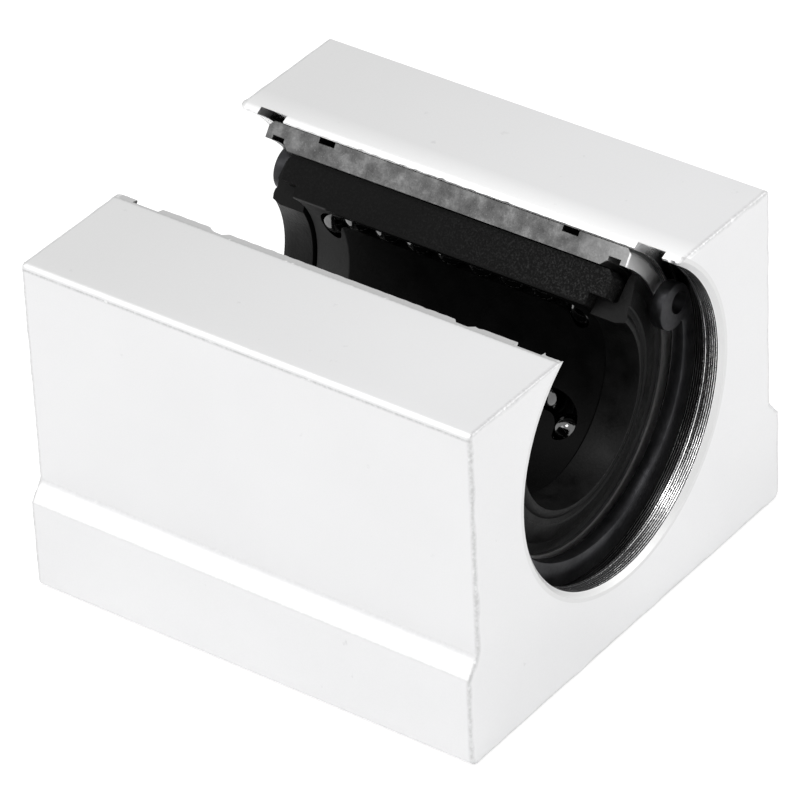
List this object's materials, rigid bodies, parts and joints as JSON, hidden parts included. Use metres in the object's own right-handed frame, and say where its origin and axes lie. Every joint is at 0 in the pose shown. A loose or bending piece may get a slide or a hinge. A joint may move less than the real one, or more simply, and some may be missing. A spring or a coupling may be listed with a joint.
{
  "type": "linear bearing block",
  "caption": "Open linear ball bearing in an aluminium block with a shouldered foot, a slot for a supported shaft, end seals, circlips and tapped mounting holes underneath.",
  "frame": {"origin": "centre of the mounting face under the block", "axes": "+X across the block, +Y along the shaft, +Z from the mounting face up to the open side"},
  "size_m": [0.045, 0.045, 0.0318],
  "materials": {
    "housing": "sand-blasted, clear anodised, with a bored seat",
    "sleeve": "hardened and ground bearing steel",
    "cage": "moulded black acetal",
    "seal": "moulded nitrile rubber",
    "circlip": "phosphated spring steel",
    "screw": "blackened steel",
    "ball": "polished bearing steel"
  },
  "bodies": {
    "block": {"housing": "housing", "bearing_sleeve": "sleeve", "ball_cage": "cage", "front_seal": "seal", "rear_seal": "seal", "front_circlip": "circlip", "rear_circlip": "circlip", "set_screw": "screw"},
    "upper_right_loaded_balls": {"upper_right_loaded_balls": "ball"},
    "upper_right_return_balls": {"upper_right_return_balls": "ball"},
    "upper_right_front_turn_ball": {"upper_right_front_turn_ball": "ball"},
    "upper_right_rear_turn_ball": {"upper_right_rear_turn_ball": "ball"},
    "lower_right_loaded_balls": {"lower_right_loaded_balls": "ball"},
    "lower_right_return_balls": {"lower_right_return_balls": "ball"},
    "lower_right_front_turn_ball": {"lower_right_front_turn_ball": "ball"},
    "lower_right_rear_turn_ball": {"lower_right_rear_turn_ball": "ball"},
    "lower_left_loaded_balls": {"lower_left_loaded_balls": "ball"},
    "lower_left_return_balls": {"lower_left_return_balls": "ball"},
    "lower_left_front_turn_ball": {"lower_left_front_turn_ball": "ball"},
    "lower_left_rear_turn_ball": {"lower_left_rear_turn_ball": "ball"},
    "upper_left_loaded_balls": {"upper_left_loaded_balls": "ball"},
    "upper_left_return_balls": {"upper_left_return_balls": "ball"},
    "upper_left_front_turn_ball": {"upper_left_front_turn_ball": "ball"},
    "upper_left_rear_turn_ball": {"upper_left_rear_turn_ball": "ball"}
  },
  "joints": [
    {"name": "upper_right_loaded_row_slide", "type": "slide", "parent": "block", "child": "upper_right_loaded_balls", "axis": [0, 1, 0], "range_m": [-0.0007, 0.0007]},
    {"name": "upper_right_return_row_slide", "type": "slide", "parent": "block", "child": "upper_right_return_balls", "axis": [0, 1, 0], "range_m": [-0.0007, 0.0007]},
    {"name": "upper_right_front_turn", "type": "hinge", "parent": "block", "child": "upper_right_front_turn_ball", "pos_m": [0.00909, -0.01046, 0.02342], "axis": [-0.8681, 0, -0.4963], "range_deg": [-19.26, 19.26]},
    {"name": "upper_right_rear_turn", "type": "hinge", "parent": "block", "child": "upper_right_rear_turn_ball", "pos_m": [0.00909, 0.01086, 0.02342], "axis": [-0.8681, 0, -0.4963], "range_deg": [-19.26, 19.26]},
    {"name": "lower_right_loaded_row_slide", "type": "slide", "parent": "block", "child": "lower_right_loaded_balls", "axis": [0, 1, 0], "range_m": [-0.0007, 0.0007]},
    {"name": "lower_right_return_row_slide", "type": "slide", "parent": "block", "child": "lower_right_return_balls", "axis": [0, 1, 0], "range_m": [-0.0007, 0.0007]},
    {"name": "lower_right_front_turn", "type": "hinge", "parent": "block", "child": "lower_right_front_turn_ball", "pos_m": [0.00606, -0.01046, 0.01241], "axis": [-0.7403, 0, 0.6723], "range_deg": [-19.26, 19.26]},
    {"name": "lower_right_rear_turn", "type": "hinge", "parent": "block", "child": "lower_right_rear_turn_ball", "pos_m": [0.00606, 0.01086, 0.01241], "axis": [-0.7403, 0, 0.6723], "range_deg": [-19.26, 19.26]},
    {"name": "lower_left_loaded_row_slide", "type": "slide", "parent": "block", "child": "lower_left_loaded_balls", "axis": [0, 1, 0], "range_m": [-0.0007, 0.0007]},
    {"name": "lower_left_return_row_slide", "type": "slide", "parent": "block", "child": "lower_left_return_balls", "axis": [0, 1, 0], "range_m": [-0.0007, 0.0007]},
    {"name": "lower_left_front_turn", "type": "hinge", "parent": "block", "child": "lower_left_front_turn_ball", "pos_m": [-0.00606, -0.01046, 0.01241], "axis": [-0.7403, 0, -0.6723], "range_deg": [-19.26, 19.26]},
    {"name": "lower_left_rear_turn", "type": "hinge", "parent": "block", "child": "lower_left_rear_turn_ball", "pos_m": [-0.00606, 0.01086, 0.01241], "axis": [-0.7403, 0, -0.6723], "range_deg": [-19.26, 19.26]},
    {"name": "upper_left_loaded_row_slide", "type": "slide", "parent": "block", "child": "upper_left_loaded_balls", "axis": [0, 1, 0], "range_m": [-0.0007, 0.0007]},
    {"name": "upper_left_return_row_slide", "type": "slide", "parent": "block", "child": "upper_left_return_balls", "axis": [0, 1, 0], "range_m": [-0.0007, 0.0007]},
    {"name": "upper_left_front_turn", "type": "hinge", "parent": "block", "child": "upper_left_front_turn_ball", "pos_m": [-0.00909, -0.01046, 0.02342], "axis": [-0.8681, 0, 0.4963], "range_deg": [-19.26, 19.26]},
    {"name": "upper_left_rear_turn", "type": "hinge", "parent": "block", "child": "upper_left_rear_turn_ball", "pos_m": [-0.00909, 0.01086, 0.02342], "axis": [-0.8681, 0, 0.4963], "range_deg": [-19.26, 19.26]}
  ],
  "couplings": [
    {"joint": "upper_right_return_row_slide", "follows": "upper_right_loaded_row_slide", "ratio": -1},
    {"joint": "upper_right_front_turn", "follows": "upper_right_loaded_row_slide", "rad_per_m": 478.96},
    {"joint": "upper_right_rear_turn", "follows": "upper_right_loaded_row_slide", "rad_per_m": 478.96},
    {"joint": "lower_right_return_row_slide", "follows": "lower_right_loaded_row_slide", "ratio": -1},
    {"joint": "lower_right_front_turn", "follows": "lower_right_loaded_row_slide", "rad_per_m": 478.96},
    {"joint": "lower_right_rear_turn", "follows": "lower_right_loaded_row_slide", "rad_per_m": 478.96},
    {"joint": "lower_left_return_row_slide", "follows": "lower_left_loaded_row_slide", "ratio": -1},
    {"joint": "lower_left_front_turn", "follows": "lower_left_loaded_row_slide", "rad_per_m": 478.96},
    {"joint": "lower_left_rear_turn", "follows": "lower_left_loaded_row_slide", "rad_per_m": 478.96},
    {"joint": "upper_left_return_row_slide", "follows": "upper_left_loaded_row_slide", "ratio": -1},
    {"joint": "upper_left_front_turn", "follows": "upper_left_loaded_row_slide", "rad_per_m": 478.96},
    {"joint": "upper_left_rear_turn", "follows": "upper_left_loaded_row_slide", "rad_per_m": 478.96}
  ]
}
